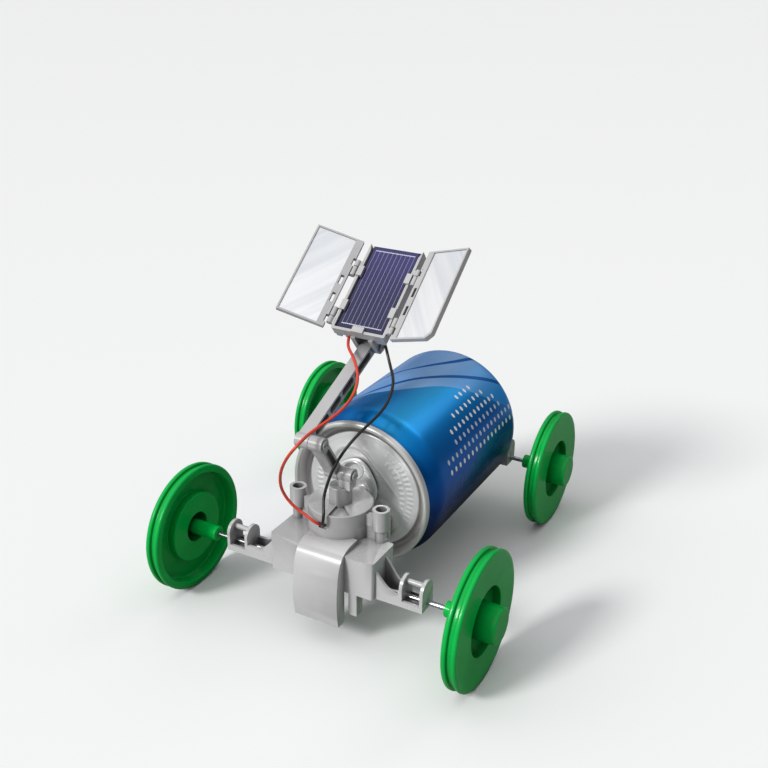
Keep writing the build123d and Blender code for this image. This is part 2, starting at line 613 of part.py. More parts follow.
def reflector(side):
    front = TRAY_F
    leaf = box(2.2, REF_W, REF_F, REF_B, -1.5, 0.6)
    leaf += box(1.5, SEAT_X, REF_F, REF_B, -1.5, 0.6)
    if side > 0:
        leaf -= corner(REF_W, REF_F)
    leaf -= mirror_block(side, 2)
    # hinge barrels; the pin sticks out forwards from the first, backwards from the second
    for y0, y1, ahead, behind in ((5.25, 9.5, 3.4, 0), (25.7, 29.95, 0, 3.4)):
        y0, y1 = front + y0, front + y1
        leaf += box(0.0, 2.6, y0, y1, -1.2, 0.0)
        leaf += rod_y(0, 0, y0, y1, HINGE_R)
        leaf += rod_y(0, 0, y0 - ahead, y1 + behind, HINGE_PIN_R)
    # clip windows in the hinge strip
    for y0, y1 in ((11.0, 15.4), (19.8, 24.2)):
        leaf -= box(2.6, 4.0, front + y0, front + y1, -3, 3)
    # clearance round the tray's knuckles
    for y0, y1 in ((front + 1.8, front + 5.1), (front + 30.1, front + 33.4)):
        leaf -= box(-2, 2.4, y0, y1, 0.65, 4) + box(1.4, 2.4, y0, y1, -3, 4)
    return leaf


def hung(side, shape):
    """Put a shape from the leaf frame on its hinge, at the rest angle."""
    if side < 0:
        shape = mirror(shape, Plane.YZ)
    hinge = Location((side * HINGE_X, 0, HINGE_Z))
    return TRAY_FRAME * hinge * Rot(0, -side * REF_ANGLE, 0) * shape


for side, word in SIDE_NAMES:
    save(f"reflector_frame_{word}", hung(side, reflector(side)))
    save(f"mirror_{word}", hung(side, mirror_block(side, 0.2)))


# ----------------------------------------------------------------------- wires
def tray_point(x, y, z):
    place = (TRAY_FRAME * Location((x, y, z))).position
    return (place.X, place.Y, place.Z)


def wire(points):
    path = Spline(*points)
    section = Plane(origin=path @ 0, z_dir=path % 0) * Circle(WIRE_R)
    return sweep(section, path=path)


# (x, y, z) from the notch in the motor cap up to the tray
RED_POINTS = [
    (-1.4, -63.5, 47.3), (-2.2, -65.5, 48.8), (-6.6, -66.2, 51.4), (-11.6, -66.8, 54.3),
    (-15.7, -67.2, 58.8), (-17.0, -67.6, 65.5), (-14.3, -68.0, 73.1), (-10.6, -68.2, 78.8),
    (-7.2, -67.9, 83.0), (-4.6, -65.8, 86.2), (-1.2, -60.5, 89.4), (1.7, -54.0, 92.4),
    (2.8, -48.0, 95.4), (1.6, -41.4, 98.5), (-2.8, -34.0, 101.4), (-9.0, -27.2, 103.9),
    (-13.6, -22.2, 105.2), tray_point(-5.6, TRAY_F + 0.1, FLOOR_Z - 0.9)]
BLACK_POINTS = [
    (0.2, -63.5, 47.3), (0.6, -65.4, 48.6), (1.2, -65.8, 53.0), (-0.6, -62.8, 57.4),
    (-0.6, -60.4, 62.9), (1.0, -57.6, 69.9), (5.5, -50.4, 80.0), (8.5, -42.5, 84.7),
    (9.5, -31.9, 88.5), (8.0, -24.0, 94.3), (3.6, -18.2, 98.2),
    tray_point(9.6, TRAY_F + 1.4, FLOOR_Z - 4.0), tray_point(9.6, TRAY_F + 1.9, FLOOR_Z - 1.9)]
save("red_wire", wire(RED_POINTS))
save("black_wire", wire(BLACK_POINTS))
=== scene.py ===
import math

import bmesh
import bpy
import numpy as np
from mathutils import Matrix, Vector


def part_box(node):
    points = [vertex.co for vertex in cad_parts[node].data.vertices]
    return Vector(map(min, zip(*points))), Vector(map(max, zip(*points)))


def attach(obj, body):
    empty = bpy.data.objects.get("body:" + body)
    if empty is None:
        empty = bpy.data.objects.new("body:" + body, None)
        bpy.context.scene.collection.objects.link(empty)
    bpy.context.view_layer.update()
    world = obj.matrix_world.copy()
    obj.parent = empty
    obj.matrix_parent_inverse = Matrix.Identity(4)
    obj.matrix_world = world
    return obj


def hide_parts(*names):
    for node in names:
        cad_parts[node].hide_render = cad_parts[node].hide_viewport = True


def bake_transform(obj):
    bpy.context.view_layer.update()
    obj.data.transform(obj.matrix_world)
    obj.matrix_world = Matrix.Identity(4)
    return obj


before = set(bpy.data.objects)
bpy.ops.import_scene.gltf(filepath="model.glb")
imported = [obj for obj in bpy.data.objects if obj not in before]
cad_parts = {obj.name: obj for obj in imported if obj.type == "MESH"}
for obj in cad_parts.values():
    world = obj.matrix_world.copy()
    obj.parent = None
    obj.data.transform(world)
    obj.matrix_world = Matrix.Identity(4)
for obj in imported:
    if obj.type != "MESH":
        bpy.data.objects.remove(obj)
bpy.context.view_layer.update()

MM = 0.001
lo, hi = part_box("can_body")
OFF = (lo.x + hi.x) / 2 / MM       # the can's centre plane along x in the row frame; sizes below are measured from it

# ------------------------------------------------------------ sizes, in mm
AXLE_R = 1.0
HUB_OUT, HUB_IN = 9.0, 13.2
CAN_R, CAN_Z = 33.1, 48.5
CAN_FRONT, CAN_LEN = -37.5, 92.0
CAN_BACK = CAN_FRONT + CAN_LEN
PANEL_Y = CAN_FRONT + 4.3
RING_R = 24.5
KNUCKLE = (-51.0, 64.5)
TRAY_TILT = math.radians(39.0)
MAST_A = math.radians(23.8)
TAB_A = math.radians(-31.0)       # the ring-pull's turn about its rivet, from straight up
ELBOW = (KNUCKLE[0] + 20.0 * math.cos(math.radians(124.4)), KNUCKLE[1] + 20.0 * math.sin(math.radians(124.4)))
TILT = (ELBOW[0] + 54.5 * math.cos(MAST_A), ELBOW[1] + 54.5 * math.sin(MAST_A))


# =================================================================== shading
def lin(h):
    out = []
    for i in (1, 3, 5):
        c = int(h[i:i + 2], 16) / 255
        out.append(c / 12.92 if c <= 0.04045 else ((c + 0.055) / 1.055) ** 2.4)
    return tuple(out) + (1.0,)


class V:
    """A number flowing through a shader, with ordinary arithmetic."""

    def __init__(self, g, s):
        self.g, self.s = g, s

    def __add__(a, b):
        return a.g.m("ADD", a, b)

    __radd__ = __add__

    def __sub__(a, b):
        return a.g.m("SUBTRACT", a, b)

    def __rsub__(a, b):
        return a.g.m("SUBTRACT", b, a)

    def __mul__(a, b):
        return a.g.m("MULTIPLY", a, b)

    __rmul__ = __mul__

    def __neg__(a):
        return a.g.m("MULTIPLY", a, -1.0)

    def __truediv__(a, b):
        return a.g.m("DIVIDE", a, b)

    def sin(a):
        return a.g.m("SINE", a)

    def abs(a):
        return a.g.m("ABSOLUTE", a)

    def floor(a):
        return a.g.m("FLOOR", a)

    def max(a, b):
        return a.g.m("MAXIMUM", a, b)

    def min(a, b):
        return a.g.m("MINIMUM", a, b)

    def over(a, lo, hi, y0=0.0, y1=1.0, kind="SMOOTHSTEP"):
        """smooth step of a from y0 at lo to y1 at hi"""
        n = a.g.nt.nodes.new("ShaderNodeMapRange")
        n.interpolation_type = kind
        n.clamp = True
        a.g.put(n.inputs[0], a)
        for i, x in zip((1, 2, 3, 4), (lo, hi, y0, y1)):
            a.g.put(n.inputs[i], x)
        return V(a.g, n.outputs[0])


class Mat:
    """A material built around one Principled shader."""

    def __init__(self, name):
        self.mat = bpy.data.materials.new(name)
        self.mat.use_nodes = True
        self.nt = self.mat.node_tree
        self.nt.nodes.clear()
        self.out = self.nt.nodes.new("ShaderNodeOutputMaterial")
        self.p = self.nt.nodes.new("ShaderNodeBsdfPrincipled")
        self.nt.links.new(self.p.outputs[0], self.out.inputs[0])
        self.co = self.nt.nodes.new("ShaderNodeTexCoord").outputs["Object"]

    def put(self, sock, v):
        if isinstance(v, V):
            self.nt.links.new(v.s, sock)
        elif isinstance(v, bpy.types.NodeSocket):
            self.nt.links.new(v, sock)
        else:
            sock.default_value = v

    def m(self, op, a, b=None, c=None):
        n = self.nt.nodes.new("ShaderNodeMath")
        n.operation = op
        for i, x in enumerate((a, b, c)):
            if x is not None:
                self.put(n.inputs[i], x)
        return V(self, n.outputs[0])

    def xyz(self, vec=None):
        n = self.nt.nodes.new("ShaderNodeSeparateXYZ")
        self.put(n.inputs[0], vec or self.co)
        x, y, z = [V(self, o) for o in n.outputs]
        return (x, y, z) if vec else (x - OFF * MM, y, z)

    def vec(self, x, y, z):
        n = self.nt.nodes.new("ShaderNodeCombineXYZ")
        for i, v in enumerate((x, y, z)):
            self.put(n.inputs[i], v)
        return n.outputs[0]

    def noise(self, scale, detail=3.0, rough=0.5, vec=None, stretch=None, distort=0.0):
        v = vec or self.co
        if stretch:
            mp = self.nt.nodes.new("ShaderNodeMapping")
            mp.inputs["Scale"].default_value = stretch
            self.put(mp.inputs[0], v)
            v = mp.outputs[0]
        n = self.nt.nodes.new("ShaderNodeTexNoise")
        self.put(n.inputs["Vector"], v)
        n.inputs["Scale"].default_value = scale
        n.inputs["Detail"].default_value = detail
        n.inputs["Roughness"].default_value = rough
        n.inputs["Distortion"].default_value = distort
        return V(self, n.outputs[0])

    def voronoi(self, scale, vec=None):
        n = self.nt.nodes.new("ShaderNodeTexVoronoi")
        n.feature = "F1"
        self.put(n.inputs["Vector"], vec or self.co)
        n.inputs["Scale"].default_value = scale
        return V(self, n.outputs["Distance"])

    def mix(self, f, a, b, kind="MIX"):
        n = self.nt.nodes.new("ShaderNodeMix")
        n.data_type = "RGBA"
        n.blend_type = kind
        n.clamp_factor = True
        self.put(n.inputs[0], f)
        for i, x in ((6, a), (7, b)):
            self.put(n.inputs[i], lin(x) if isinstance(x, str) else x)
        return n.outputs[2]

    def ramp(self, f, stops, kind="LINEAR"):
        n = self.nt.nodes.new("ShaderNodeValToRGB")
        n.color_ramp.interpolation = kind
        els = n.color_ramp.elements
        while len(els) > 1:
            els.remove(els[-1])
        els[0].position, els[0].color = stops[0][0], lin(stops[0][1])
        for pos, col in stops[1:]:
            e = els.new(pos)
            e.color = lin(col)
        self.put(n.inputs[0], f)
        return n.outputs[0]

    def ao(self, distance, inside=False, samples=8):
        n = self.nt.nodes.new("ShaderNodeAmbientOcclusion")
        n.samples = samples
        n.inside = inside
        n.inputs["Distance"].default_value = distance
        return V(self, n.outputs["AO"])

    def bump(self, height, strength, distance, normal=None):
        n = self.nt.nodes.new("ShaderNodeBump")
        n.inputs["Strength"].default_value = strength
        n.inputs["Distance"].default_value = distance
        self.put(n.inputs["Height"], height)
        if normal is not None:
            self.put(n.inputs["Normal"], normal)
        return n.outputs[0]

    def set(self, **kw):
        names = {"color": "Base Color", "metal": "Metallic", "rough": "Roughness", "normal": "Normal", "coat": "Coat Weight",
                 "coat_rough": "Coat Roughness", "spec": "Specular IOR Level", "sss": "Subsurface Weight", "ior": "IOR",
                 "sss_scale": "Subsurface Scale", "aniso": "Anisotropic", "aniso_rot": "Anisotropic Rotation",
                 "coat_ior": "Coat IOR", "tangent": "Tangent", "trans": "Transmission Weight", "sheen": "Sheen Weight"}
        for k, v in kw.items():
            if k == "sss_radius":
                self.p.inputs["Subsurface Radius"].default_value = v
                continue
            self.put(self.p.inputs[names[k]], lin(v) if isinstance(v, str) else v)
        return self.mat


def plastic(name, light, dark, rough=0.36, grain=1.0, flow=0.5, coat=0.0, painted_shade_to=None, sss=0.0, edge=None):
    g = Mat(name)
    cloud = g.noise(38.0, 4.0, 0.55, distort=0.6)
    fine = g.noise(1500.0, 2.0, 0.6)
    streak = g.noise(90.0, 3.0, 0.6, stretch=(1.0, 0.25, 1.0), distort=1.2)
    f = (cloud.over(0.3, 0.7) * (1 - flow) + streak.over(0.35, 0.65) * flow) * 0.75 + fine * 0.12
    col = g.mix(f, light, dark)
    if edge:
        # painted highlight: moulded edges are made lighter, as if they catch a little light
        geo = g.nt.nodes.new("ShaderNodeNewGeometry")
        e = V(g, geo.outputs["Pointiness"]).over(0.52, 0.62)
        col = g.mix(e * 0.5, col, edge)
    # painted shade: crevices and corners are darkened towards this colour by ambient occlusion
    if painted_shade_to:
        a = g.ao(0.010)
        col = g.mix((1 - a).over(0.05, 0.9) * 0.85, col, painted_shade_to)
    h = g.noise(2600.0, 2.0, 0.5) * 0.6 + g.noise(420.0, 3.0, 0.5) * 0.4
    scuff = g.noise(260.0, 6.0, 0.7, stretch=(1.0, 1.0, 0.2), distort=2.0).over(0.62, 0.72)
    r = rough + (cloud - 0.5) * 0.16 + scuff * 0.12
    return g.set(color=col, rough=r, normal=g.bump(h, 0.10 * grain, 0.00004), coat=coat, coat_rough=0.18, sss=sss,
                 sss_scale=0.002, sss_radius=(1.0, 1.0, 1.0))


GREY = plastic("moulded_grey", "#bab9b9", "#afaeae", rough=0.28, grain=0.5, painted_shade_to="#454446", edge="#dddcdc", coat=0.3)
GREY_DARK = plastic("moulded_grey_shade", "#a9a8a9", "#9b9a9b", rough=0.36, grain=0.6, painted_shade_to="#4e4d4e", edge="#c8c7c8")


def wheel_green(name, cx, cz, cy):
    g = Mat(name)
    x, y, z = g.xyz()
    r = g.m("SQRT", g.m("POWER", y - cy * MM, 2.0) + g.m("POWER", z - cz * MM, 2.0))
    ang = g.m("ARCTAN2", z - cz * MM, y - cy * MM)
    cloud = g.noise(45.0, 4.0, 0.5, distort=0.8)
    # faint radial flow marks from the centre gate and fine turning rings of the mould
    rays = g.noise(2.2, 3.0, 0.6, vec=g.vec(ang * 4.0, r * 60.0, x * 20.0))
    rings = (r * 9000.0 + cloud * 3.0).sin() * 0.5 + 0.5
    col = g.mix(cloud.over(0.3, 0.7) * 0.5 + rays * 0.10, "#00be4e", "#00a845")
    # painted shade: darker green in the wheel's recesses and creases, by ambient occlusion
    a = g.ao(0.008)
    col = g.mix((1 - a).over(0.05, 0.95) * 0.85, col, "#023d17")
    rub = g.noise(120.0, 6.0, 0.7, distort=1.5).over(0.58, 0.75)
    rough = 0.20 + rays * 0.04 + rub * 0.03
    tread = r.over(0.0262, 0.0268)
    col = g.mix(tread * 0.25, col, "#19a24a")
    h = rings * 0.15 + g.noise(420.0, 2.0, 0.5) * 0.5
    return g.set(color=col, rough=rough + tread * 0.06, normal=g.bump(h, 0.05, 0.00003), coat=0.10, coat_rough=0.05, spec=0.16)


def metal(name, light, dark, rough, axis="x", scratch=0.5, aniso=0.0):
    g = Mat(name)
    st = {"x": (0.04, 1.0, 1.0), "y": (1.0, 0.04, 1.0), "z": (1.0, 1.0, 0.04), "n": (1.0, 1.0, 1.0)}[axis]
    drawn = g.noise(2200.0, 3.0, 0.7, stretch=st)
    cloud = g.noise(90.0, 5.0, 0.6, distort=0.8)
    col = g.mix(cloud.over(0.3, 0.75) * 0.7 + drawn * 0.3, light, dark)
    r = rough + (drawn - 0.5) * 0.25 * scratch + cloud.over(0.5, 0.8) * 0.12
    return g.set(color=col, metal=1.0, rough=r, normal=g.bump(drawn, 0.12 * scratch, 0.00003), aniso=aniso)


STEEL = metal("drawn_steel", "#cfd1d4", "#94979b", 0.22, "x")
STEEL_Z = metal("drawn_steel_upright", "#cfd1d4", "#94979b", 0.22, "z")
MOTOR_STEEL = metal("motor_steel", "#c3c6c9", "#8e9195", 0.3, "n")
BRASS = metal("turned_brass", "#d6b35a", "#a87f35", 0.28, "n")
SCREW = metal("zinc_screw", "#a9acb0", "#6f7377", 0.34, "n")
NYLON = plastic("natural_acetal", "#f0ede2", "#dcd8ca", rough=0.42, sss=0.25)
MOTOR_END = plastic("motor_end_nylon", "#ebe8df", "#d7d3c8", rough=0.45, sss=0.15)


def lid_metal():
    g = Mat("rolled_aluminium")
    x, y, z = g.xyz()
    zz = z - CAN_Z * MM
    r = g.m("SQRT", g.m("POWER", x, 2.0) + g.m("POWER", zz, 2.0))
    rolled = g.noise(900.0, 4.0, 0.65, stretch=(0.03, 1.0, 1.0))
    cloud = g.noise(120.0, 5.0, 0.6, distort=1.0)
    fine = g.noise(3000.0, 2.0, 0.6)
    turned = (r * 16000.0).sin() * 0.5 + 0.5
    outside = r.over(0.0246, 0.0254)
    col = g.mix(cloud.over(0.3, 0.75) * 0.4 + rolled * 0.2, "#fbfcfb", "#e8e9e8")
    # painted shade: darker brown-grey in the countersink and the seam's folds, by ambient occlusion
    a = g.ao(0.005, samples=20)
    col = g.mix((1 - a).over(0.2, 0.95) * 0.8, col, "#5b504a")
    col = g.mix(outside * 0.35, col, "#938a86")
    rough = 0.30 + rolled * 0.08 + outside * 0.03 + cloud.over(0.55, 0.8) * 0.06
    h = (rolled * 0.5 + fine * 0.2) * (1 - outside) + outside * turned * 0.03
    return g.set(color=col, metal=0.45, rough=rough, normal=g.bump(h, 0.08, 0.00003))


def can_paint():
    g = Mat("printed_can")
    x, y, z = g.xyz()
    zz = z - CAN_Z * MM
    th = g.m("ARCTAN2", x, zz) * (180.0 / math.pi)          # degrees from the top, + towards +X
    yy = y * 1000.0                                          # mm along the can
    r = g.m("SQRT", g.m("POWER", x, 2.0) + g.m("POWER", zz, 2.0)) * 1000.0
    # blue print with painted light and shade round the can: a painted highlight band near the top, painted shade to
    # nearly black underneath
    base = g.ramp((th + 180.0) / 360.0, [
        (0.00, "#00060f"), (0.14, "#000c1e"), (0.24, "#00306c"), (0.33, "#0054a8"), (0.42, "#0070c8"), (0.50, "#0a90e2"),
        (0.555, "#2cb2f6"), (0.585, "#12a0ee"), (0.62, "#008ce2"), (0.665, "#0074d2"), (0.72, "#005cba"), (0.77, "#003884"), (0.81, "#001a46"),
        (0.85, "#000818"), (1.00, "#00060f")])
    shade = th.over(92.0, 128.0) + (-th).over(110.0, 150.0)
    # darker band round the neck and shoulder
    neck = (-yy).over(24.0, 29.0)
    base = g.mix(neck * 0.30, base, "#003a7c")
    rear = yy.over(30.0, 52.0)
    base = g.mix(rear * 0.45, base, "#1b86d6")

    # pale wave along the top, with two thin blue lines through it
    def wave(pts):
        n = g.nt.nodes.new("ShaderNodeFloatCurve")
        cm = n.mapping
        c = cm.curves[0]
        u = [((yv + 40.0) / 100.0, (tv + 60.0) / 160.0) for yv, tv in pts]
        c.points[0].location, c.points[1].location = u[0], u[-1]
        for q in u[1:-1]:
            c.points.new(*q)
        cm.update()
        g.put(n.inputs["Value"], (yy + 40.0) / 100.0)
        n.inputs["Factor"].default_value = 1.0
        return V(g, n.outputs[0]) * 160.0 - 60.0

    low = wave([(-40, -58), (-20, -38), (-12, -22), (-5, -3), (2.7, 8.4), (10.2, 17), (17.5, 26.5), (23, 35.4), (32, 50), (42, 63), (60, 78)])
    l2 = wave([(-40, -60), (-22, -48), (-12, -28), (-4, -15.3), (3.4, -7.2), (10.6, 1.3), (17.5, 10.5), (25, 19.8), (33, 29.4), (42, 39.8), (50, 50), (60, 62)])
    l1 = wave([(-40, -60), (-15, -60), (0, -46), (9, -32), (17.3, -20.3), (22.4, -9.0), (29, 0.7), (37, 9.6), (47, 17.5), (60, 27)])
    high = wave([(-40, -60), (0, -60), (12, -60), (24, -52), (34, -42), (46, -30), (60, -18)])
    inside = (low - th).over(-0.35, 0.35) * (th - high).over(-0.4, 0.4) * yy.over(-24.0, -16.0)
    soft = (low - th).over(-14.0, 0.0) * yy.over(-20.0, -8.0) * (1 - inside)
    base = g.mix(soft * 0.30, base, "#3cb0f4")
    pale = g.ramp((th + 60.0) / 140.0, [(0.0, "#58a2f0"), (0.3, "#86bcfc"), (0.5, "#a0cbff"), (0.64, "#76bafc"), (0.8, "#30a0f2"), (1.0, "#0884da")])
    base = g.mix(inside * 0.93, base, pale)
    line1 = (1 - (l1 - th).abs().over(1.8, 2.5)) * inside
    line2 = (1 - (l2 - th).abs().over(1.8, 2.5)) * inside
    base = g.mix(line1.max(line2), base, "#0064ba")

    # rows of small oval dots on the right side
    dots = None
    rows = [(34.4, 13.7, 25.8, 4, 0.9), (43.2, 2.4, 30.8, 8, 1.0), (51.4, -5.6, 36.6, 12, 1.0), (59.1, -6.3, 38.1, 12, 0.75),
            (67.1, -17.2, 45.7, 17, 0.7), (75.0, -16.9, 48.2, 17, 1.0)]
    for t0, y0, y1, n, k in rows:
        step = (y1 - y0) / (n - 1)
        cell = (yy - (y0 - step / 2)) / step
        dy = (cell - cell.floor() - 0.5) * step
        on = yy.over(y0 - step / 2, y0 - step / 2 + 0.02, kind="LINEAR") * (1 - yy.over(y1 + step / 2 - 0.02, y1 + step / 2, kind="LINEAR"))
        dt = (th - t0) * (math.pi / 180.0 * CAN_R)
        d = g.m("SQRT", g.m("POWER", dy / 0.86, 2.0) + g.m("POWER", dt / 1.16, 2.0))
        one = (1 - d.over(0.86, 1.06)) * on * k
        dots = one if dots is None else dots.max(one)
    base = g.mix(dots, base, "#ffffff")

    # faint rounded blocks under the dots: a plain geometric border
    cell = (yy + 18.0) / 11.5
    cy = (cell - cell.floor() - 0.5).abs() * 11.5
    ct = (th - 92.0).abs() * (math.pi / 180.0 * CAN_R)
    q = (cy - 2.6).max(0.0)
    w = (ct - 3.8).max(0.0)
    dist = g.m("SQRT", q * q + w * w)
    ring = (1 - (dist - 1.4).abs().over(0.5, 0.75)) * yy.over(-18.1, -18.0) * (1 - yy.over(50.9, 51.0))
    base = g.mix(ring * 0.2, base, "#2f7fd0")

    # bare, lacquered metal on the neck's last millimetre and on the base
    bare = (r - 29.95).over(0.0, 0.35)
    dome = yy.over(CAN_BACK - 2.4, CAN_BACK - 1.6) + (29.2 - r).over(0.0, 0.6) * yy.over(30.0, 31.0)
    dome = dome.min(1.0)
    base = g.mix(dome, base, "#b9bcc0")

    cloud = g.noise(30.0, 3.0, 0.5)
    flake = g.noise(4200.0, 2.0, 0.6)
    scuff = g.noise(160.0, 6.0, 0.75, stretch=(1.0, 0.35, 1.0), distort=2.0).over(0.66, 0.74)
    base = g.mix(flake.over(0.45, 0.9) * 0.05, base, "#4fa0e0")
    print_white = dots.max(inside * 0.8)
    metal_f = (0.62 - print_white * 0.45).max(dome * 0.95)
    rough = 0.24 + cloud * 0.05 + scuff * 0.03 + dome * 0.08 + shade.min(1.0) * 0.25
    h = g.noise(700.0, 2.0, 0.5) * 0.5 + dots * 0.3
    return g.set(color=base, metal=metal_f, rough=rough, coat=(1 - shade.min(1.0)) * 0.08, coat_rough=0.05, spec=0.14 - shade.min(1.0) * 0.12,
                 normal=g.bump(h, 0.05, 0.00003))


def tray_coords(g):
    """x, s, n of the tray's own plane, in mm"""
    x, y, z = g.xyz()
    y, z = y * 1000.0 - TILT[0], z * 1000.0 - TILT[1]
    c, s = math.cos(TRAY_TILT), math.sin(TRAY_TILT)
    return x * 1000.0 + 10.0, y * c + z * s, z * c - y * s


def cell_mat():
    g = Mat("solar_cell_surface")
    x, s, n = tray_coords(g)
    cx = x
    # ten strips with thin collector lines, one wider scalloped rail near each short end
    pitch = 2.02
    q = (cx + 50 * pitch) / pitch
    fr = (q - q.floor() - 0.5).abs() * pitch
    line = 1 - fr.over(0.045, 0.10)
    side = (cx.abs() - 9.6).over(0.0, 0.05)
    line = line * (1 - side)
    s0, s1 = -2.1 + 1.9, -2.1 + 42.6 - 0.5
    scal = ((cx * (2 * math.pi / pitch)).sin().abs()) * 0.28
    rails = None
    for c0, sgn in ((s0 + 1.7, 1.0), (s1 - 1.7, -1.0)):
        one = 1 - ((s - c0) * sgn - scal).abs().over(0.10, 0.22)
        rails = one if rails is None else rails.max(one)
    rails = rails * (1 - (cx.abs() - 9.1).over(0.0, 0.1))
    fade = s.over(s0 + 1.6, s0 + 2.1) * (1 - s.over(s1 - 2.1, s1 - 1.6))
    line = line * fade
    finger = ((s * (2 * math.pi / 0.34)).sin() * 0.5 + 0.5).over(0.7, 1.0) * 0.18
    grain = g.noise(900.0, 4.0, 0.6, stretch=(1.0, 0.15, 0.15))
    # blue to violet tint across the silicon, lighter towards the tray's upper edge: a painted sheen
    sheen = g.noise(32.0, 2.0, 0.5)
    tint = g.ramp(((s - s0) / (s1 - s0)) * 0.7 + sheen * 0.3, [(0.0, "#0f0d30"), (0.45, "#131040"), (0.75, "#2a2560"), (1.0, "#1d1a50")])
    col = g.mix(grain.over(0.35, 0.75) * 0.35, tint, "#100e30")
    col = g.mix(finger, col, "#6a68a8")
    col = g.mix(line * 0.85, col, "#a9a7cf")
    col = g.mix(rails * 0.95, col, "#dfe0ee")
    metal_f = line.max(rails) * 0.4
    h = line.max(rails) * 0.6 + grain * 0.1
    return g.set(color=col, rough=0.16 + grain * 0.08 + line.max(rails) * 0.2, metal=metal_f, coat=0.35, coat_rough=0.05,
                 normal=g.bump(h, 0.2, 0.00004), spec=0.3)


def mirror_mat(name, sgn):
    g = Mat(name)
    x, s, n = tray_coords(g)
    # soft vertical streaks, as a room reflected in slightly wavy film
    wav = g.noise(14.0, 2.0, 0.5, distort=0.4)
    st = g.noise(1.0, 3.0, 0.55, vec=g.vec(s * 0.055 + x * 0.075 * sgn + wav * 0.6, 0.0, n * 0.02))
    st2 = g.noise(1.0, 2.0, 0.5, vec=g.vec(s * 0.21 + x * 0.3 * sgn + wav * 0.9, 3.0, 0.0))
    f = st.over(0.36, 0.62) * 0.7 + st2.over(0.45, 0.7) * 0.3
    col = g.mix(f, "#dcdfe3", "#ffffff")
    dust = g.noise(700.0, 5.0, 0.7).over(0.55, 0.8)
    h = g.noise(60.0, 2.0, 0.5)
    return g.set(color=col, metal=0.35, rough=0.12 + dust * 0.08 + (1 - f) * 0.06, coat=0.5, coat_rough=0.05,
                 normal=g.bump(h, 0.25, 0.0002))


def wire_mat(name, light, dark):
    g = Mat(name)
    a = g.noise(260.0, 4.0, 0.6)
    b = g.noise(2400.0, 2.0, 0.6)
    col = g.mix(a.over(0.3, 0.7) * 0.7 + b * 0.2, light, dark)
    return g.set(color=col, rough=0.34 + a * 0.12, coat=0.25, coat_rough=0.2, normal=g.bump(a * 0.6 + b * 0.4, 0.12, 0.00005))


def foam_mat():
    g = Mat("foam_tape")
    v = g.voronoi(2600.0)
    a = g.noise(300.0, 4.0, 0.6)
    col = g.mix(v.over(0.1, 0.6) * 0.6 + a * 0.2, "#d9d5c8", "#f2efe6")
    return g.set(color=col, rough=0.9, normal=g.bump(v, 0.7, 0.0002), sheen=0.2)


def board_mat():
    g = Mat("backing_board")
    a = g.noise(1200.0, 3.0, 0.6, stretch=(1.0, 0.1, 0.1))
    b = g.noise(1200.0, 3.0, 0.6, stretch=(0.1, 1.0, 1.0))
    col = g.mix(a * 0.5 + b * 0.5, "#15182a", "#2a2f47")
    return g.set(color=col, rough=0.5, normal=g.bump(a + b, 0.2, 0.00005))


# ================================================================== geometry
def link(ob):
    bpy.context.scene.collection.objects.link(ob)
    return ob


def new_mesh(name, verts, faces, mat, smooth=True, scale=MM, recalc=True, angle=None):
    me = bpy.data.meshes.new(name)
    me.from_pydata([((v[0] + OFF) * scale, v[1] * scale, v[2] * scale) for v in verts], [], faces)
    bm = bmesh.new()
    bm.from_mesh(me)
    bmesh.ops.remove_doubles(bm, verts=bm.verts, dist=1e-8)
    bmesh.ops.dissolve_degenerate(bm, edges=bm.edges, dist=1e-9)
    if recalc:
        bmesh.ops.recalc_face_normals(bm, faces=bm.faces)
    for f in bm.faces:
        f.smooth = smooth
    if angle is not None:
        for e in bm.edges:
            if len(e.link_faces) == 2 and e.calc_face_angle(0.0) > math.radians(angle):
                e.smooth = False
    bm.to_mesh(me)
    bm.free()
    me.validate()
    me.materials.append(mat)
    return link(bpy.data.objects.new(name, me))


def rounded(points, n=5):
    """points (a, b, radius): a closed outline with its corners rounded"""
    out = []
    m = len(points)
    for i in range(m):
        p0, p1, p2 = points[i - 1], points[i], points[(i + 1) % m]
        r = p1[2] if len(p1) > 2 else 0.0
        a = Vector((p0[0] - p1[0], p0[1] - p1[1]))
        b = Vector((p2[0] - p1[0], p2[1] - p1[1]))
        la, lb = a.length, b.length
        if r <= 0 or la < 1e-9 or lb < 1e-9:
            out.append((p1[0], p1[1]))
            continue
        a, b = a / la, b / lb
        ang = a.angle(b)
        if abs(ang - math.pi) < 1e-3:
            out.append((p1[0], p1[1]))
            continue
        cut = min(r / math.tan(ang / 2), la * 0.49, lb * 0.49)
        rr = cut * math.tan(ang / 2)
        c = Vector((p1[0], p1[1])) + (a + b).normalized() * (rr / math.sin(ang / 2))
        s = Vector((p1[0], p1[1])) + a * cut
        e = Vector((p1[0], p1[1])) + b * cut
        v0, v1 = s - c, e - c
        t0 = math.atan2(v0.y, v0.x)
        dt = math.atan2(v0.x * v1.y - v0.y * v1.x, v0.dot(v1))
        for k in range(n + 1):
            t = t0 + dt * k / n
            out.append((c.x + rr * math.cos(t), c.y + rr * math.sin(t)))
    return out


def dense(points, step):
    """the same closed outline with long stretches cut into shorter ones"""
    out = []
    for i, p in enumerate(points):
        q = points[(i + 1) % len(points)]
        d = math.hypot(q[0] - p[0], q[1] - p[1])
        k = max(1, int(d / step))
        for j in range(k):
            out.append((p[0] + (q[0] - p[0]) * j / k, p[1] + (q[1] - p[1]) * j / k))
    return out


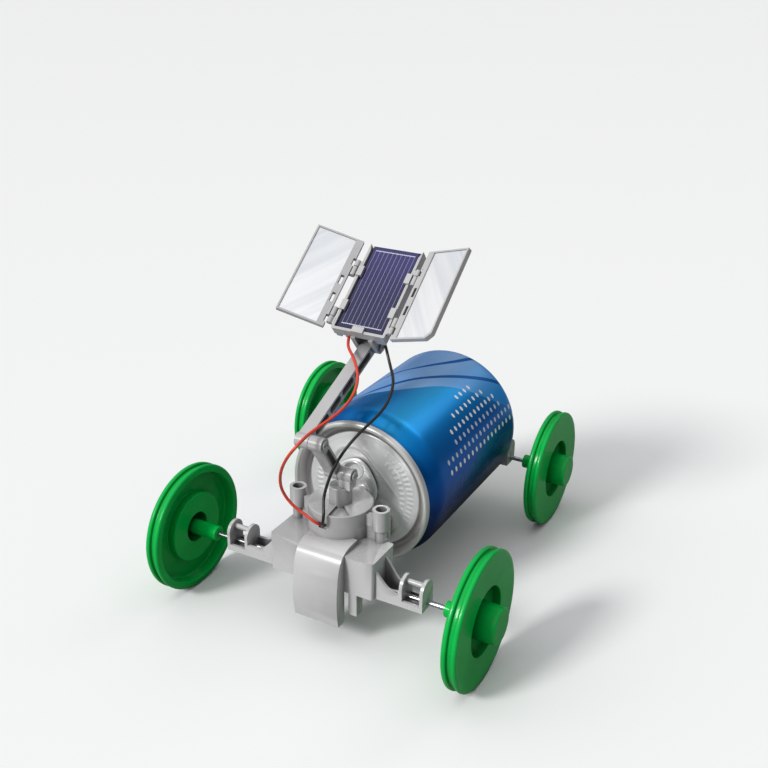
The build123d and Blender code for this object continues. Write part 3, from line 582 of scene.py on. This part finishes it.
def lathe(name, prof, place, mat, seg=192, closed=True, angle=40):
    """prof (a, r) spun about the axis; place(a, r, angle) gives the row-frame point in mm"""
    verts, faces, rings = [], [], []
    for a, r in prof:
        if r < 1e-6:
            rings.append([len(verts)])
            verts.append(place(a, 0.0, 0.0))
        else:
            rings.append(list(range(len(verts), len(verts) + seg)))
            verts += [place(a, r, 2 * math.pi * k / seg) for k in range(seg)]
    count = len(rings) if closed else len(rings) - 1
    for i in range(count):
        p, q = rings[i], rings[(i + 1) % len(rings)]
        if len(p) == 1 and len(q) == 1:
            continue
        for k in range(seg):
            k2 = (k + 1) % seg
            if len(p) == 1:
                faces.append((p[0], q[k], q[k2]))
            elif len(q) == 1:
                faces.append((p[k], q[0], p[k2]))
            else:
                faces.append((p[k], q[k], q[k2], p[k2]))
    return new_mesh(name, verts, faces, mat, angle=angle)


def spline(pts, step):
    """a natural cubic curve through the points, with the point index of each sample"""
    P = np.array(pts, float)
    d = np.linalg.norm(np.diff(P, axis=0), axis=1)
    t = np.concatenate([[0], np.cumsum(d)])
    n = len(P)
    A = np.zeros((n, n))
    B = np.zeros((n, P.shape[1]))
    A[0, 0] = A[-1, -1] = 1
    h = np.diff(t)
    for i in range(1, n - 1):
        A[i, i - 1], A[i, i], A[i, i + 1] = h[i - 1], 2 * (h[i - 1] + h[i]), h[i]
        B[i] = 6 * ((P[i + 1] - P[i]) / h[i] - (P[i] - P[i - 1]) / h[i - 1])
    M = np.linalg.solve(A, B)
    out, idx = [], []
    for i in range(n - 1):
        k = max(2, int(math.ceil(h[i] / step)))
        for j in range(k + (1 if i == n - 2 else 0)):
            u = h[i] * j / k
            a, b = h[i] - u, u
            out.append((M[i] * a ** 3 + M[i + 1] * b ** 3) / (6 * h[i]) + (P[i] / h[i] - M[i] * h[i] / 6) * a + (P[i + 1] / h[i] - M[i + 1] * h[i] / 6) * b)
            idx.append(i + j / k)
    return np.array(out), np.array(idx)


def frames(path, closed=False):
    n = len(path)
    tan = np.array([path[(i + 1) % n] - path[i - 1] for i in range(n)]) if closed else np.gradient(path, axis=0)
    tan /= np.linalg.norm(tan, axis=1)[:, None]
    ref = np.array([0.0, 0.0, 1.0]) if abs(tan[0][2]) < 0.9 else np.array([1.0, 0.0, 0.0])
    u = ref - tan[0] * (ref @ tan[0])
    u /= np.linalg.norm(u)
    us = [u]
    for i in range(1, n):
        u = us[-1] - tan[i] * (us[-1] @ tan[i])
        us.append(u / np.linalg.norm(u))
    us = np.array(us)
    return tan, us, np.cross(tan, us)


def tube(name, path, radius, mat, sides=20, fr=None, closed=False, caps=True):
    tan, u, v = fr if fr is not None else frames(path, closed)
    verts, faces = [], []
    n = len(path)
    rad = radius if hasattr(radius, "__len__") else [radius] * n
    for i in range(n):
        for k in range(sides):
            a = 2 * math.pi * k / sides
            verts.append(tuple(path[i] + rad[i] * (u[i] * math.cos(a) + v[i] * math.sin(a))))
    for i in range(n if closed else n - 1):
        j = (i + 1) % n
        for k in range(sides):
            k2 = (k + 1) % sides
            faces.append((i * sides + k, i * sides + k2, j * sides + k2, j * sides + k))
    if not closed and caps:
        faces.append(tuple(range(sides - 1, -1, -1)))
        faces.append(tuple((n - 1) * sides + k for k in range(sides)))
    return new_mesh(name, verts, faces, mat, angle=50)


def join(name, obs):
    me = bpy.data.meshes.new(name)
    bm = bmesh.new()
    for o in obs:
        bm.from_mesh(o.data)
    bm.to_mesh(me)
    bm.free()
    for m in obs[0].data.materials:
        me.materials.append(m)
    for o in obs:
        old = o.data
        bpy.data.objects.remove(o)
        bpy.data.meshes.remove(old)
    return link(bpy.data.objects.new(name, me))


def bez(p0, p1, p2, p3, n=8):
    out = []
    for i in range(n + 1):
        t = i / n
        out.append(tuple((1 - t) ** 3 * a + 3 * (1 - t) ** 2 * t * b + 3 * (1 - t) * t * t * c + t ** 3 * d
                         for a, b, c, d in zip(p0, p1, p2, p3)))
    return out


# ------------------------------------------------- edges of the moulded parts
def smooth_group():
    """geometry nodes: faces smooth, edges sharper than 32 degrees stay sharp"""
    ng = bpy.data.node_groups.new("smooth_by_angle", "GeometryNodeTree")
    ng.interface.new_socket("Geometry", in_out="INPUT", socket_type="NodeSocketGeometry")
    ng.interface.new_socket("Geometry", in_out="OUTPUT", socket_type="NodeSocketGeometry")
    i, o = ng.nodes.new("NodeGroupInput"), ng.nodes.new("NodeGroupOutput")
    f = ng.nodes.new("GeometryNodeSetShadeSmooth")
    f.domain = "FACE"
    e = ng.nodes.new("GeometryNodeSetShadeSmooth")
    e.domain = "EDGE"
    ang = ng.nodes.new("GeometryNodeInputMeshEdgeAngle")
    cmp = ng.nodes.new("FunctionNodeCompare")
    cmp.operation = "LESS_THAN"
    cmp.inputs[1].default_value = math.radians(32)
    ng.links.new(ang.outputs[0], cmp.inputs[0])
    ng.links.new(i.outputs[0], f.inputs["Geometry"])
    ng.links.new(f.outputs[0], e.inputs["Geometry"])
    ng.links.new(cmp.outputs[0], e.inputs["Shade Smooth"])
    ng.links.new(e.outputs[0], o.inputs[0])
    return ng


SMOOTH = smooth_group()


def finish_cad(node, mat, width=0.22, segments=3, angle=28.0):
    """rounds the moulded edges of a CAD node with modifiers and gives it its material"""
    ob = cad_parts[node]
    me = ob.data
    a = me.attributes.get("custom_normal")
    if a is not None:
        me.attributes.remove(a)
    me.materials.clear()
    me.materials.append(mat)
    w = ob.modifiers.new("weld", "WELD")
    w.merge_threshold = 0.000002
    d = ob.modifiers.new("planar", "DECIMATE")
    d.decimate_type = "DISSOLVE"
    d.angle_limit = math.radians(0.6)
    if width:
        b = ob.modifiers.new("edges", "BEVEL")
        b.width = width * MM
        b.segments = segments
        b.limit_method = "ANGLE"
        b.angle_limit = math.radians(angle)
        b.miter_outer = "MITER_ARC"
        b.use_clamp_overlap = True
        b.harden_normals = False
    s = ob.modifiers.new("smooth", "NODES")
    s.node_group = SMOOTH
    n = ob.modifiers.new("normals", "WEIGHTED_NORMAL")
    n.mode = "FACE_AREA"
    n.weight = 60
    n.keep_sharp = True
    return ob


for node in ("front_chassis", "gear_cover", "motor_cap", "panel_tray", "reflector_frame_left", "reflector_frame_right", "rear_bracket"):
    finish_cad(node, GREY)
for node in ("swivel_post", "lower_link", "mast"):
    finish_cad(node, GREY)
for node in ("link_pin", "elbow_pin", "tilt_pin"):
    finish_cad(node, GREY_DARK, width=0.12)
for node in ("front_axle", "rear_axle"):
    finish_cad(node, STEEL, width=0.0)
finish_cad("motor_shaft", STEEL_Z, width=0.0)
finish_cad("motor_case", MOTOR_STEEL, width=0.0)
finish_cad("motor_end", MOTOR_END, width=0.15)
finish_cad("drive_worm", BRASS, width=0.0)
finish_cad("drive_gear", NYLON, width=0.0)
finish_cad("cap_screws", SCREW, width=0.08)
finish_cad("front_pad", foam_mat(), width=0.3)
finish_cad("rear_pad", foam_mat(), width=0.3)
finish_cad("solar_backing", board_mat(), width=0.1)
finish_cad("solar_cell", cell_mat(), width=0.0)
finish_cad("mirror_left", mirror_mat("silvered_left", -1.0), width=0.12)
finish_cad("mirror_right", mirror_mat("silvered_right", 1.0), width=0.12)


# --------------------------------------------------------------------- wheels
def wheel_profile():
    c = HUB_OUT
    p = [(-HUB_IN, AXLE_R, 0.12), (-HUB_IN, 3.1, 0.45), (c - 1.2, 3.15, 0.2), (c - 1.2, 6.2, 0.2), (-2.0, 6.3, 0.35),
         (-2.0, 14.8, 0.5), (1.6, 15.0, 0.5), (1.6, 23.2, 0.9), (-3.0, 23.9, 0.55), (-3.0, 27.0, 1.05), (-1.05, 27.0, 0.75),
         (-0.75, 25.75, 0.3), (0.75, 25.75, 0.3), (1.05, 27.0, 0.75), (3.0, 27.0, 1.05), (3.0, 13.4, 0.42), (-0.6, 13.3, 0.35),
         (-0.6, 7.35, 0.35), (c, 7.2, 0.75), (c, 0.0), (c - 1.6, 0.0), (c - 1.6, AXLE_R)]
    return dense(rounded(p, 6), 1.3)


PROF = wheel_profile()
for word, side, lo_node in (("front_left", -1, "wheel_front_left"), ("front_right", 1, "wheel_front_right"),
                            ("rear_left", -1, "wheel_rear_left"), ("rear_right", 1, "wheel_rear_right")):
    lo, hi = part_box("wheel_" + word)
    cy, cz = (lo.y + hi.y) / 2 / MM, (lo.z + hi.z) / 2 / MM
    x0 = (hi.x / MM - HUB_OUT - OFF) if side > 0 else (lo.x / MM + HUB_OUT - OFF)

    def place(a, r, t, x0=x0, side=side, cy=cy, cz=cz):
        return (x0 + side * a, cy + r * math.cos(t), cz + r * math.sin(t))

    w = lathe("wheel_shell_" + word, PROF, place, wheel_green("green_" + word, x0, cz, cy), seg=224)
    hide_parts("wheel_" + word)
    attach(w, "front_wheels" if "front" in word else "rear_wheels")

# ------------------------------------------------------------------- can body
neck0 = CAN_FRONT + 2.5
S = 0.5
o = [(29.9, neck0)]
o += bez((29.9, neck0 + 0.8), (29.9, neck0 + 4.0), (CAN_R, neck0 + 5.5), (CAN_R, neck0 + 11.5), 30)
o += [(CAN_R, y) for y in np.linspace(neck0 + 13.0, CAN_BACK - 10.5, 36)]
o += bez((CAN_R, CAN_BACK - 9.0), (CAN_R, CAN_BACK - 4.0), (30.5, CAN_BACK - 2.5), (RING_R + 1.6, CAN_BACK - 0.4), 22)
o += bez((RING_R + 1.3, CAN_BACK - 0.2), (RING_R + 0.7, CAN_BACK), (RING_R - 0.7, CAN_BACK), (RING_R - 1.2, CAN_BACK - 0.45), 6)
o += bez((RING_R - 1.4, CAN_BACK - 0.8), (RING_R - 3.2, CAN_BACK - 5.5), (14.0, CAN_BACK - 10.0), (0.0, CAN_BACK - 10.2), 26)
i_ = [(0.0, CAN_BACK - 10.2 - S)]
i_ += bez((13.7, CAN_BACK - 9.6 - S), (18.5, CAN_BACK - 8.6 - S), (21.0, CAN_BACK - 6.0 - S), (RING_R - 1.7, CAN_BACK - 1.9), 10)
i_ += [(RING_R - 0.9, CAN_BACK - 0.8), (RING_R + 0.9, CAN_BACK - 0.8)]
i_ += bez((RING_R + 1.6, CAN_BACK - 1.0), (30.2, CAN_BACK - 3.2), (CAN_R - S, CAN_BACK - 4.4), (CAN_R - S, CAN_BACK - 9.0), 12)
i_ += bez((CAN_R - S, neck0 + 11.5), (CAN_R - S, neck0 + 5.7), (29.35, neck0 + 4.2), (29.35, neck0 + 0.8), 16)
i_ += [(29.35, neck0)]


def can_place(a, r, t):
    return (r * math.sin(t), a, CAN_Z + r * math.cos(t))


body = lathe("can_shell", [(y, r) for r, y in o + i_], can_place, can_paint(), seg=288, angle=50)
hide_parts("can_body")
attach(body, "chassis")

# ------------------------------------------------------------------------ lid
LID = lid_metal()
ca, sa = math.cos(TAB_A), math.sin(TAB_A)


def along(x, z):
    """lid point to (across, along) of the ring-pull's own direction, towards its finger end"""
    return x * ca - z * sa, x * sa + z * ca


def sm(e0, e1, v):
    t = np.clip((v - e0) / (e1 - e0), 0, 1)
    return t * t * (3 - 2 * t)


def uneven(px, py, r1, r2, h):
    """distance to a round-ended shape with radius r1 at 0 and r2 at h along py"""
    px = np.abs(px)
    b = (r1 - r2) / h
    a = math.sqrt(1 - b * b)
    k = -b * px + a * py
    return np.where(k < 0, np.hypot(px, py) - r1, np.where(k > a * h, np.hypot(px, py - h) - r2, px * a + py * b - r1))


def lid_depth(x, z):
    """how far the panel's face lies behind its plain level, in mm"""
    u, v = along(x, z)
    r = np.hypot(x, z)
    d = np.zeros_like(x)
    # drop shaped recess, with a soft bead round it
    drop = uneven(u, v + 9.0, 13.0, 9.4, 18.5)
    d += 0.55 * (1 - sm(-0.9, 0.1, drop))
    d -= 0.16 * np.exp(-((drop - 0.75) / 0.45) ** 2)
    # pour panel: score line and the bead inside it
    po = np.hypot(u / 8.2, (v + 11.2) / 6.6)
    d += 0.14 * np.exp(-((po - 1.0) / 0.035) ** 2)
    d -= 0.22 * np.exp(-((po - 0.8) / 0.06) ** 2)
    # finger well under the ring-pull
    fw = np.hypot(u / 5.6, (v - 9.0) / 5.0)
    d += 0.45 * (1 - sm(0.25, 1.0, fw))
    # button of the rivet and two short beads beside it
    d -= 0.55 * (1 - sm(1.6, 2.6, r))
    for s in (-1, 1):
        bd = np.hypot(np.maximum(np.abs(v + 1.0) - 2.4, 0), u - s * 5.6)
        d -= 0.22 * (1 - sm(0.2, 0.75, bd))
    # plain raised ribs in two arcs at the edge of the panel
    ang = np.degrees(np.arctan2(x, z))
    for a0, a1, rr, w, pitch in ((28, 122, 21.4, 1.15, 5.6), (34, 112, 17.8, 0.9, 7.4), (-118, -52, 20.6, 1.1, 6.0)):
        k = (ang - a0) / pitch
        local = (k - np.floor(k) - 0.5) * pitch * math.pi / 180 * rr
        box = np.hypot(np.maximum(np.abs(local) - 0.32, 0), np.maximum(np.abs(r - rr) - w, 0))
        on = (ang > a0) & (ang < a1)
        d -= np.where(on, 0.2 * (1 - sm(0.0, 0.42, box)), 0)
    # shallow circular step near the panel's edge
    d += 0.12 * (1 - sm(23.2, 23.8, r))
    fade = 1 - sm(24.4, 25.0, r)
    return d * fade


def lid_mesh():
    # (r, y) from the seam's inner wall to the countersink, on the front face
    F = CAN_FRONT
    front = rounded([(31.0, F + 2.5), (31.0, F, 1.1), (29.35, F, 0.75), (28.75, F + 1.2, 0.8), (28.05, F + 5.6, 1.0), (26.9, F + 6.35, 1.1),
                     (25.75, F + 5.5, 0.9), (25.3, PANEL_Y, 0.55), (20.0, PANEL_Y)], 7)
    front = [p for p in front if p[0] > 25.0 or p[0] > 31]
    front = front[:]
    # keep the order: outside skirt first, then over the curl and down to the panel
    rr = [p[0] for p in front]
    cut = max(i for i, p in enumerate(front) if p[0] >= 25.02)
    front = front[:cut + 1]
    seg = 384
    rings_r = list(np.linspace(24.9, 0.45, 104))
    verts, faces, rings = [], [], []
    for r, y in front:
        rings.append(list(range(len(verts), len(verts) + seg)))
        verts += [(r * math.sin(2 * math.pi * k / seg), y, CAN_Z + r * math.cos(2 * math.pi * k / seg)) for k in range(seg)]
    t = np.arange(seg) * 2 * math.pi / seg
    for r in rings_r:
        x, z = r * np.sin(t), r * np.cos(t)
        d = lid_depth(x, z)
        rings.append(list(range(len(verts), len(verts) + seg)))
        verts += [(x[k], PANEL_Y + d[k], CAN_Z + z[k]) for k in range(seg)]
    d0 = float(lid_depth(np.array([0.0]), np.array([0.0]))[0])
    rings.append([len(verts)])
    verts.append((0.0, PANEL_Y + d0, CAN_Z))
    # back face
    back_r = list(np.linspace(0.45, 24.7, 60))
    rings.append([len(verts)])
    verts.append((0.0, PANEL_Y + d0 + 0.4, CAN_Z))
    for r in back_r:
        x, z = r * np.sin(t), r * np.cos(t)
        d = lid_depth(x, z)
        rings.append(list(range(len(verts), len(verts) + seg)))
        verts += [(x[k], PANEL_Y + d[k] + 0.4, CAN_Z + z[k]) for k in range(seg)]
    for r, y in ((25.1, F + 4.9), (25.5, F + 6.1), (26.1, F + 6.65), (26.9, F + 6.85), (27.9, F + 6.5), (28.55, F + 5.6), (29.2, F + 2.5), (30.0, F + 2.5)):
        rings.append(list(range(len(verts), len(verts) + seg)))
        verts += [(r * math.sin(2 * math.pi * k / seg), y, CAN_Z + r * math.cos(2 * math.pi * k / seg)) for k in range(seg)]
    n = len(rings)
    for i in range(n):
        p, q = rings[i], rings[(i + 1) % n]
        if len(p) == 1 and len(q) == 1:
            continue
        for k in range(seg):
            k2 = (k + 1) % seg
            if len(p) == 1:
                faces.append((p[0], q[k], q[k2]))
            elif len(q) == 1:
                faces.append((p[k], q[0], p[k2]))
            else:
                faces.append((p[k], q[k], q[k2], p[k2]))
    return new_mesh("can_end", verts, faces, LID, angle=60)


lid = lid_mesh()
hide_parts("can_lid")
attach(lid, "chassis")


# ------------------------------------------------------------------ ring-pull
def tab():
    # outline in (across, along), rivet at the origin, finger end towards +along
    def lid_pt(u, v, y):
        return (u * ca + v * sa, y, CAN_Z - u * sa + v * ca)

    def outline(k):
        a = 2 * math.pi * k
        # wide round finger end, narrower nose
        c, s = math.cos(a), math.sin(a)
        w = 7.2 + 0.6 * s
        if s < 0:
            w = 7.2 * (1 - 0.16 * s * s)
        L = 8.8 if s > 0 else 6.4
        e = 2.5
        return (w * math.copysign(abs(c) ** (2 / e), c), 4.6 + math.copysign(abs(s) ** (2 / e), s) * (L if s > 0 else L + 4.2))

    def hole(k):
        a = 2 * math.pi * k
        return (5.0 * math.cos(a), 8.9 + 4.1 * math.sin(a) * (1.0 if math.sin(a) > 0 else 0.92))

    N = 144
    y0 = PANEL_Y - 0.62
    parts = []
    # curled outer edge, curled edge of the finger hole
    po = np.array([lid_pt(*outline(k / N), y0) for k in range(N)])
    ph = np.array([lid_pt(*hole(k / N), y0) for k in range(N)])
    parts.append(tube("t1", po, 0.68, LID, sides=20, closed=True))
    parts.append(tube("t2", ph, 0.5, LID, sides=18, closed=True))
    # web between the two curls
    verts, faces = [], []
    R = 14
    for lay, yy in ((0, y0 - 0.14), (1, y0 + 0.2)):
        for j in range(R + 1):
            for k in range(N):
                a, b = outline(k / N), hole(k / N)
                f = j / R
                u, v = b[0] + (a[0] - b[0]) * f, b[1] + (a[1] - b[1]) * f
                # tongue round the rivet sits lower than the web
                d = math.hypot(u, v * 0.9 - 0.2)
                low = float(0.42 * (1 - sm(2.9, 3.7, np.array(d))))
                groove = 0.12 * math.exp(-((d - 3.9) / 0.3) ** 2)
                verts.append(lid_pt(u, v, yy + low - groove))
    M = N * (R + 1)
    for j in range(R):
        for k in range(N):
            k2 = (k + 1) % N
            faces.append((j * N + k, j * N + k2, (j + 1) * N + k2, (j + 1) * N + k))
            faces.append((M + j * N + k, M + (j + 1) * N + k, M + (j + 1) * N + k2, M + j * N + k2))
    for j in (0, R):
        for k in range(N):
            k2 = (k + 1) % N
            faces.append((j * N + k, j * N + k2, M + j * N + k2, M + j * N + k))
    parts.append(new_mesh("t3", verts, faces, LID, angle=50))
    # rivet head
    prof = rounded([(0.9, 0.0), (0.9, 2.0, 0.15), (0.35, 2.35, 0.3), (-0.28, 2.15, 0.35), (-0.12, 0.9, 0.5), (-0.1, 0.0)], 5)

    def rp(a, r, t):
        return (r * math.sin(t), y0 + a, CAN_Z + r * math.cos(t))

    parts.append(lathe("t4", prof, rp, LID, seg=64))
    return join("ring_pull", parts)


tb = tab()
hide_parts("can_tab")
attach(tb, "chassis")


# ---------------------------------------------------------------------- wires
def tray_point(x, s, n):
    c, q = math.cos(TRAY_TILT), math.sin(TRAY_TILT)
    return (x - 10.0, TILT[0] + s * c - n * q, TILT[1] + s * q + n * c)


s0, n0 = -2.1, 11.9 - 4.2
red = [(-1.4, -63.5, 47.3), (-2.2, -65.5, 48.8), (-6.6, -66.2, 51.4), (-11.6, -66.8, 54.3), (-15.3, -67.8, 59.2), (-14.7, -70.8, 67.6),
       (-10.0, -74.2, 77.1), (-6.3, -74.5, 82.7), (-4.5, -72.0, 85.5), (-3.7, -67.3, 87.1), (-1.2, -60.5, 89.4), (1.7, -54.0, 92.4), (2.8, -48.0, 95.4),
       (1.6, -41.4, 98.5), (-2.8, -34.0, 101.4), (-9.0, -27.2, 103.9), (-13.6, -22.2, 105.2), tray_point(-5.6, s0 + 0.1, n0 - 0.9)]
black = [(0.2, -63.5, 47.3), (0.6, -65.4, 48.6), (1.2, -65.8, 53.0), (-0.6, -62.8, 57.4), (-0.6, -60.4, 62.9), (1.0, -57.6, 69.9),
         (5.5, -50.4, 80.0), (8.5, -42.5, 84.7), (9.5, -31.9, 88.5), (8.0, -24.0, 94.3), (3.6, -18.2, 98.2),
         tray_point(9.6, s0 + 1.4, n0 - 4.0), tray_point(9.6, s0 + 1.9, n0 - 1.9)]


def wire(word, pts, cuts, mat, slot):
    path, idx = spline(pts, 0.5)
    tan, u, v = frames(path)
    cuts = [0] + cuts + [len(pts) - 1]
    for i in range(4):
        a = int(np.argmin(abs(idx - cuts[i])))
        b = int(np.argmin(abs(idx - cuts[i + 1])))
        sl = slice(a, b + 1)
        t = tube(f"{word}_{i + 1}", path[sl], 0.6, mat, sides=20, fr=(tan[sl], u[sl], v[sl]))
        p, q = (path[a] + [OFF, 0, 0]) * MM, (path[b] + [OFF, 0, 0]) * MM
        tuple(p)
        tuple(q)
        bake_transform(t)
        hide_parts(slot.replace("wire_", "") + "_wire")


wire("wire_red", red, [6, 8, 12], wire_mat("pvc_red", "#e2452c", "#c93620"), "wire_red")
wire("wire_black", black, [4, 6, 8], wire_mat("pvc_black", "#0b0a0b", "#171617"), "wire_black")


# ====================================================================== stage
def floor_mat():
    g = Mat("pale_floor")
    a = g.noise(3.0, 3.0, 0.5)
    b = g.noise(220.0, 2.0, 0.5)
    col = g.mix(a * 0.6 + b * 0.1, "#f8f8f7", "#f4f4f3")
    # pale to the eye, but it throws less light back up at the car
    seen = V(g, g.nt.nodes.new("ShaderNodeLightPath").outputs["Is Camera Ray"])
    col = g.mix(seen, "#9a9a99", col)
    return g.set(color=col, rough=0.6 + a * 0.1, spec=0.25)


fl = new_mesh("floor", [(-30000, -30000, 0), (30000, -30000, 0), (30000, 30000, 0), (-30000, 30000, 0)], [(0, 1, 2, 3)], floor_mat(), smooth=False)

world = bpy.data.worlds.new("studio")
bpy.context.scene.world = world
world.use_nodes = True
bg = world.node_tree.nodes["Background"]


class Sky(Mat):
    def __init__(self, w):
        self.nt = w.node_tree
        self.co = self.nt.nodes.new("ShaderNodeTexCoord").outputs["Generated"]


# a soft studio surround: brightest above and to the left of the front, dimmest on the right
sky = Sky(world)
dx, dy, dz = sky.xyz(sky.co)
key = (dx * -0.5 + dy * -0.6 + dz * 0.62).over(0.45, 1.0)
top = dz.over(0.25, 1.0)
seen = V(sky, sky.nt.nodes.new("ShaderNodeLightPath").outputs["Is Camera Ray"])
sky.put(bg.inputs[1], (0.10 + key * 0.6 + top * 0.60) * (1 - seen) + seen * 0.80)
bg.inputs[0].default_value = (0.97, 0.98, 1.0, 1.0)


def sun(name, direction, angle, power, color=(1, 1, 1)):
    d = bpy.data.lights.new(name, "SUN")
    d.angle = math.radians(angle)
    d.energy = power
    d.color = color
    ob = link(bpy.data.objects.new(name, d))
    ob.rotation_mode = "QUATERNION"
    ob.rotation_quaternion = (-Vector(direction)).to_track_quat("-Z", "Y")
    return ob


sun("key", (-0.36, -0.78, 0.58), 14.0, 2.0)
sun("rim", (0.30, 0.80, 0.75), 24.0, 0.16)

# --------------------------------------------------------------------- camera
az, el, roll = math.radians(28.47), math.radians(23.34), math.radians(0.74)
back = Vector((math.sin(az) * math.cos(el), -math.cos(az) * math.cos(el), math.sin(el)))
right = Vector((math.cos(az), math.sin(az), 0.0))
up = back.cross(right)
c, s = math.cos(roll), math.sin(roll)
cx, cy_ = right * c + up * s, -right * s + up * c
cam_data = bpy.data.cameras.new("camera")
cam_data.sensor_width = 36.0
cam_data.lens = 47.17
cam_data.clip_start, cam_data.clip_end = 0.01, 200.0
cam = link(bpy.data.objects.new("camera", cam_data))
rot = Matrix((cx, cy_, back)).transposed()
loc = Vector((-5.01 + OFF, -7.5, 84.61)) * MM + back * (419.5 * MM)
cam.matrix_world = Matrix.Translation(loc) @ rot.to_4x4()
bpy.context.scene.camera = cam

bpy.context.scene.view_settings.view_transform = "Standard"
